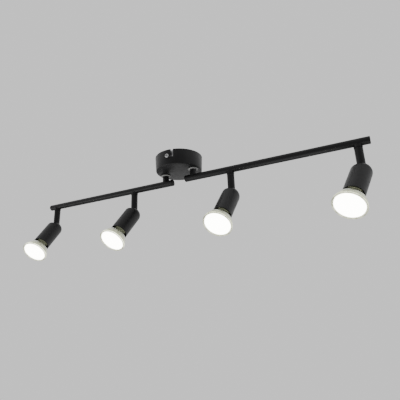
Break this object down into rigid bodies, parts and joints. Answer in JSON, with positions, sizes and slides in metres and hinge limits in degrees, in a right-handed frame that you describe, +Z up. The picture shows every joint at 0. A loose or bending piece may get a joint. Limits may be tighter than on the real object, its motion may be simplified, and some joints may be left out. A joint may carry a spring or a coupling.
{
  "type": "ceiling spotlight bar",
  "caption": "Ceiling spotlight bar: a round canopy with swivelling tube bars, each carrying turning arms and tilting cylinder heads with twist-lock reflector lamps.",
  "frame": {"origin": "middle of the mounting bracket's top face, on the ceiling", "axes": "+X along the right-hand bar, +Z up into the ceiling, the lamps lean towards -Y at rest"},
  "size_m": [0.6871, 0.1275, 0.1774],
  "materials": {
    "black_powder_coat": "satin black powder coat",
    "black_plastic": "matte moulded",
    "zinc_plate": "bright zinc plate on steel",
    "grey_nylon": "matte grey nylon",
    "terminal_plastic": "matte moulded",
    "brass": "turned",
    "earth_sleeve": "soft green insulation with a yellow stripe",
    "lead_sleeve": "woven heat-resistant sleeving",
    "ceramic": "unglazed white ceramic",
    "lamp_glass": "clear pressed glass with a reflective coat inside",
    "lamp_lens": "frosted front lens, lit"
  },
  "bodies": {
    "canopy": {"mounting_bracket": "zinc_plate", "canopy_cup": "black_powder_coat", "canopy_screw_front": "zinc_plate", "canopy_screw_back": "zinc_plate", "terminal_block": "terminal_plastic", "earth_screw": "brass", "earth_lead": "earth_sleeve", "left_canopy_lead": "lead_sleeve", "right_canopy_lead": "lead_sleeve"},
    "left_bar": {"left_bar_tube": "black_powder_coat", "left_bar_outer_cap": "black_plastic", "left_bar_inner_cap": "black_plastic", "left_bar_wiring": "lead_sleeve", "left_pivot_stem": "black_powder_coat", "left_pivot_washer": "grey_nylon", "left_pivot_nut": "zinc_plate", "arm_swivel_1": "black_powder_coat", "arm_swivel_2": "black_powder_coat"},
    "right_bar": {"right_bar_tube": "black_powder_coat", "right_bar_outer_cap": "black_plastic", "right_bar_inner_cap": "black_plastic", "right_bar_wiring": "lead_sleeve", "right_pivot_stem": "black_powder_coat", "right_pivot_washer": "grey_nylon", "right_pivot_nut": "zinc_plate", "arm_swivel_3": "black_powder_coat", "arm_swivel_4": "black_powder_coat"},
    "arm_1": {"arm_tube_1": "black_powder_coat", "hinge_lug_1": "black_powder_coat"},
    "head_1": {"hinge_pin_1": "black_powder_coat", "head_shell_1": "black_powder_coat", "lampholder_1": "ceramic"},
    "lamp_1": {"lamp_base_1": "ceramic", "lamp_glass_1": "lamp_glass", "lamp_lens_1": "lamp_lens"},
    "arm_2": {"arm_tube_2": "black_powder_coat", "hinge_lug_2": "black_powder_coat"},
    "head_2": {"hinge_pin_2": "black_powder_coat", "head_shell_2": "black_powder_coat", "lampholder_2": "ceramic"},
    "lamp_2": {"lamp_base_2": "ceramic", "lamp_glass_2": "lamp_glass", "lamp_lens_2": "lamp_lens"},
    "arm_3": {"arm_tube_3": "black_powder_coat", "hinge_lug_3": "black_powder_coat"},
    "head_3": {"hinge_pin_3": "black_powder_coat", "head_shell_3": "black_powder_coat", "lampholder_3": "ceramic"},
    "lamp_3": {"lamp_base_3": "ceramic", "lamp_glass_3": "lamp_glass", "lamp_lens_3": "lamp_lens"},
    "arm_4": {"arm_tube_4": "black_powder_coat", "hinge_lug_4": "black_powder_coat"},
    "head_4": {"hinge_pin_4": "black_powder_coat", "head_shell_4": "black_powder_coat", "lampholder_4": "ceramic"},
    "lamp_4": {"lamp_base_4": "ceramic", "lamp_glass_4": "lamp_glass", "lamp_lens_4": "lamp_lens"}
  },
  "joints": [
    {"name": "left_bar_swivel", "type": "hinge", "parent": "canopy", "child": "left_bar", "pos_m": [-0.0322, 0.0031, -0.0475], "axis": [0, 0, 1], "range_deg": [-150, 100]},
    {"name": "right_bar_swivel", "type": "hinge", "parent": "canopy", "child": "right_bar", "pos_m": [0.0322, -0.0031, -0.0475], "axis": [0, 0, 1], "range_deg": [-150, 150]},
    {"name": "arm_1_swivel", "type": "hinge", "parent": "left_bar", "child": "arm_1", "pos_m": [-0.324, 0.0031, -0.0569], "axis": [0, 0, 1], "range_deg": [-175, 175]},
    {"name": "head_1_tilt", "type": "hinge", "parent": "arm_1", "child": "head_1", "pos_m": [-0.324, 0.0031, -0.0935], "axis": [-0.9962, -0.0872, 0], "range_deg": [-40, 50]},
    {"name": "lamp_1_twist", "type": "hinge", "parent": "head_1", "child": "lamp_1", "pos_m": [-0.32064, -0.03532, -0.13946], "axis": [0.056, -0.6403, -0.766], "range_deg": [0, 25]},
    {"name": "arm_2_swivel", "type": "hinge", "parent": "left_bar", "child": "arm_2", "pos_m": [-0.108, 0.0031, -0.0569], "axis": [0, 0, 1], "range_deg": [-175, 175]},
    {"name": "head_2_tilt", "type": "hinge", "parent": "arm_2", "child": "head_2", "pos_m": [-0.108, 0.0031, -0.0935], "axis": [-0.9877, 0.1564, 0], "range_deg": [-40, 50]},
    {"name": "lamp_2_twist", "type": "hinge", "parent": "head_2", "child": "lamp_2", "pos_m": [-0.11403, -0.03499, -0.13946], "axis": [-0.1006, -0.6349, -0.766], "range_deg": [0, 25]},
    {"name": "arm_3_swivel", "type": "hinge", "parent": "right_bar", "child": "arm_3", "pos_m": [0.108, -0.0031, -0.0569], "axis": [0, 0, 1], "range_deg": [-175, 175]},
    {"name": "head_3_tilt", "type": "hinge", "parent": "arm_3", "child": "head_3", "pos_m": [0.108, -0.0031, -0.0935], "axis": [-0.9903, 0.1392, 0], "range_deg": [-40, 50]},
    {"name": "lamp_3_twist", "type": "hinge", "parent": "head_3", "child": "lamp_3", "pos_m": [0.10263, -0.04129, -0.13946], "axis": [-0.0895, -0.6365, -0.766], "range_deg": [0, 25]},
    {"name": "arm_4_swivel", "type": "hinge", "parent": "right_bar", "child": "arm_4", "pos_m": [0.324, -0.0031, -0.0569], "axis": [0, 0, 1], "range_deg": [-175, 175]},
    {"name": "head_4_tilt", "type": "hinge", "parent": "arm_4", "child": "head_4", "pos_m": [0.324, -0.0031, -0.0935], "axis": [-0.8988, 0.4384, 0], "range_deg": [-40, 50]},
    {"name": "lamp_4_twist", "type": "hinge", "parent": "head_4", "child": "lamp_4", "pos_m": [0.30709, -0.03776, -0.13946], "axis": [-0.2818, -0.5777, -0.766], "range_deg": [0, 25]}
  ]
}
